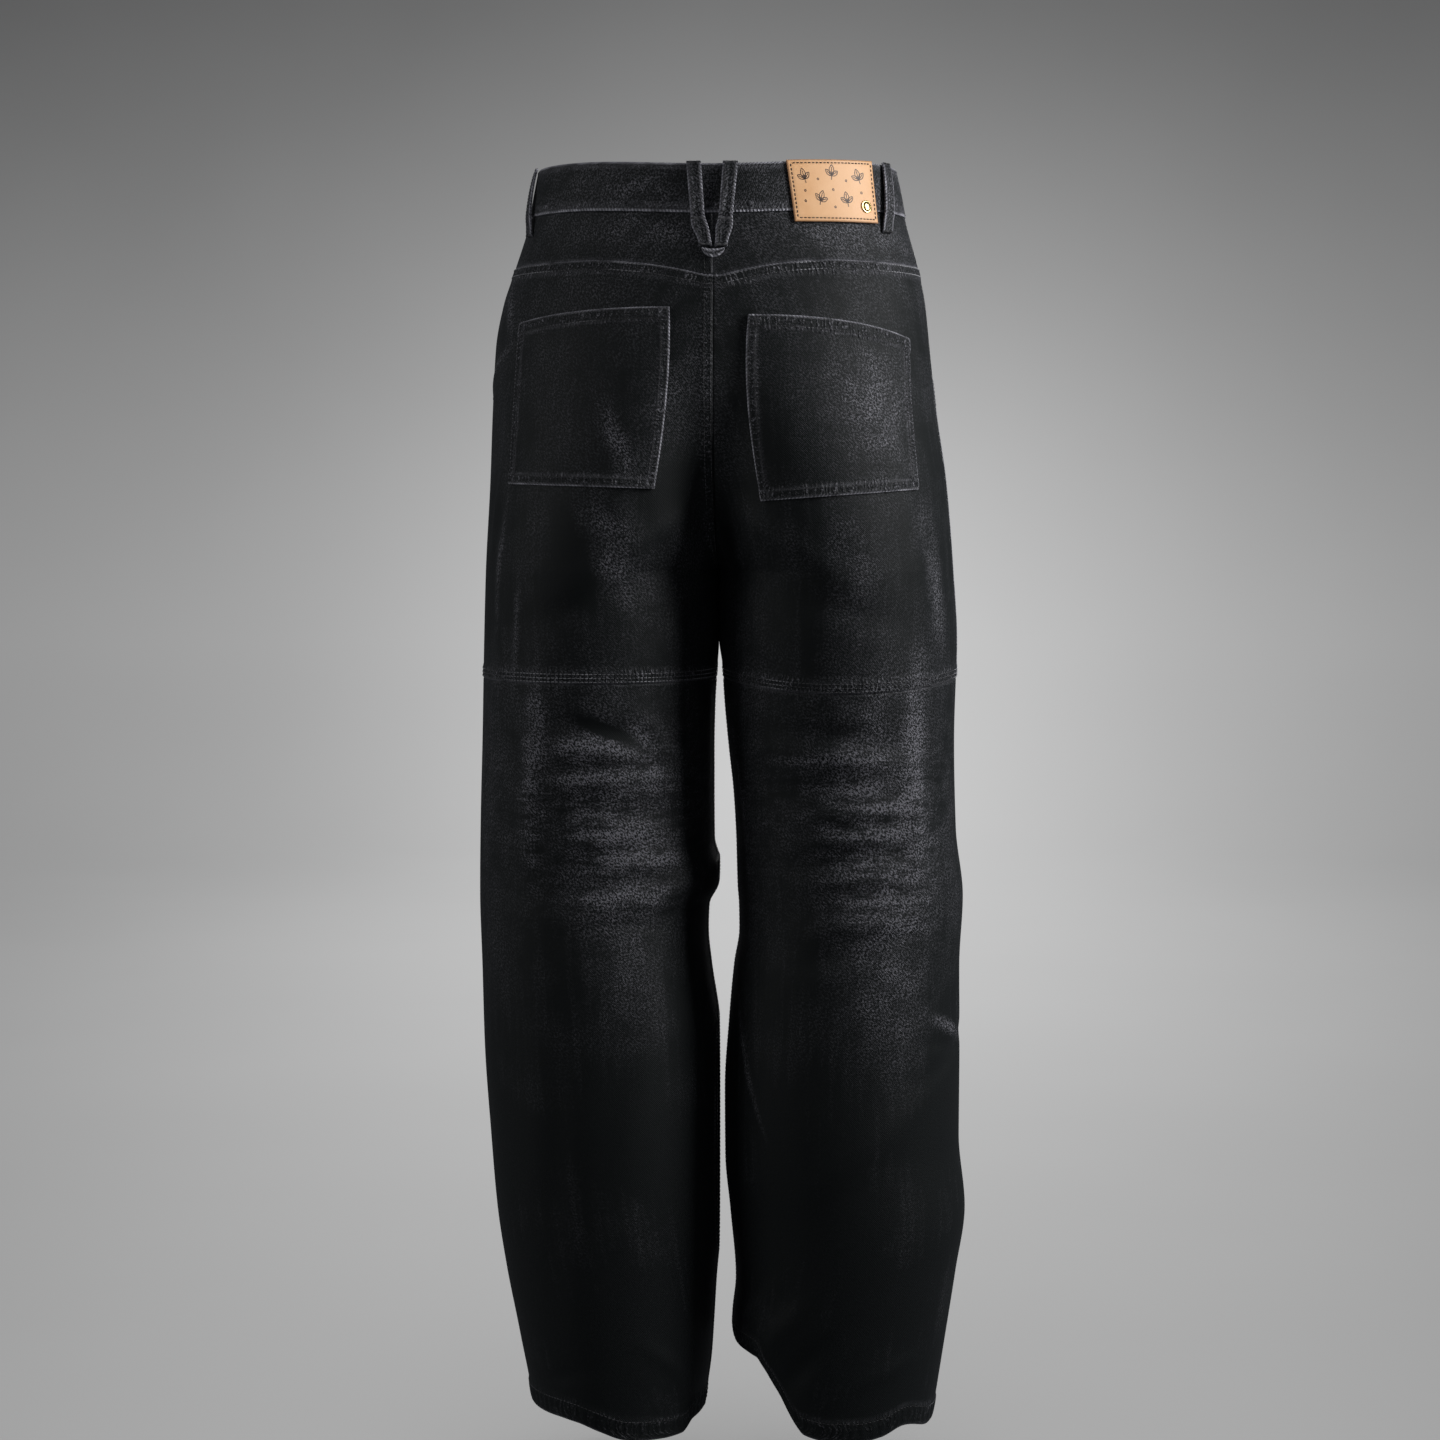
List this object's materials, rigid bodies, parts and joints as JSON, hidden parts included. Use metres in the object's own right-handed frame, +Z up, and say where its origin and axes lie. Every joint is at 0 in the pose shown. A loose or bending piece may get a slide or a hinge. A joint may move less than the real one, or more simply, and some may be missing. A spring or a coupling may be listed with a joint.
{
  "type": "wide-leg jeans",
  "caption": "Wide-leg denim jeans in washed black, held open in a worn shape, with patch pockets behind, a seam across each thigh, a V of belt loops and a leather waist patch.",
  "frame": {"origin": "middle of the waistband ring, where a wearer's waist holds the garment up", "axes": "+Z up, towards the wearer's chest; -Y towards the front; +Y towards the seat; +X towards the wearer's left"},
  "size_m": [0.4247, 0.2547, 1.0929],
  "materials": {
    "black_denim": "washed twill, matte with a faint sheen on worn places",
    "tan_leather": "smooth vegetable-tanned",
    "polished_brass": "polished",
    "gunmetal": "dark, satin",
    "zip_tape": "woven tape, matte"
  },
  "bodies": {
    "root": {"waistband": "black_denim", "yoke_left": "black_denim", "yoke_right": "black_denim", "back_upper_left": "black_denim", "back_upper_right": "black_denim", "front_upper_left": "black_denim", "front_upper_right": "black_denim", "pocket_facing_left": "black_denim", "pocket_facing_right": "black_denim", "back_lower_left": "black_denim", "back_lower_right": "black_denim", "front_lower_left": "black_denim", "front_lower_right": "black_denim", "back_pocket_left": "black_denim", "back_pocket_right": "black_denim", "loop_back_left": "black_denim", "loop_back_right": "black_denim", "loop_side_left": "black_denim", "loop_side_right": "black_denim", "loop_front_left": "black_denim", "loop_front_right": "black_denim", "loop_tip": "black_denim", "fly_shield": "black_denim", "waist_patch": "tan_leather", "patch_stud": "polished_brass", "waist_button": "gunmetal", "zip": "zip_tape"}
  },
  "joints": []
}
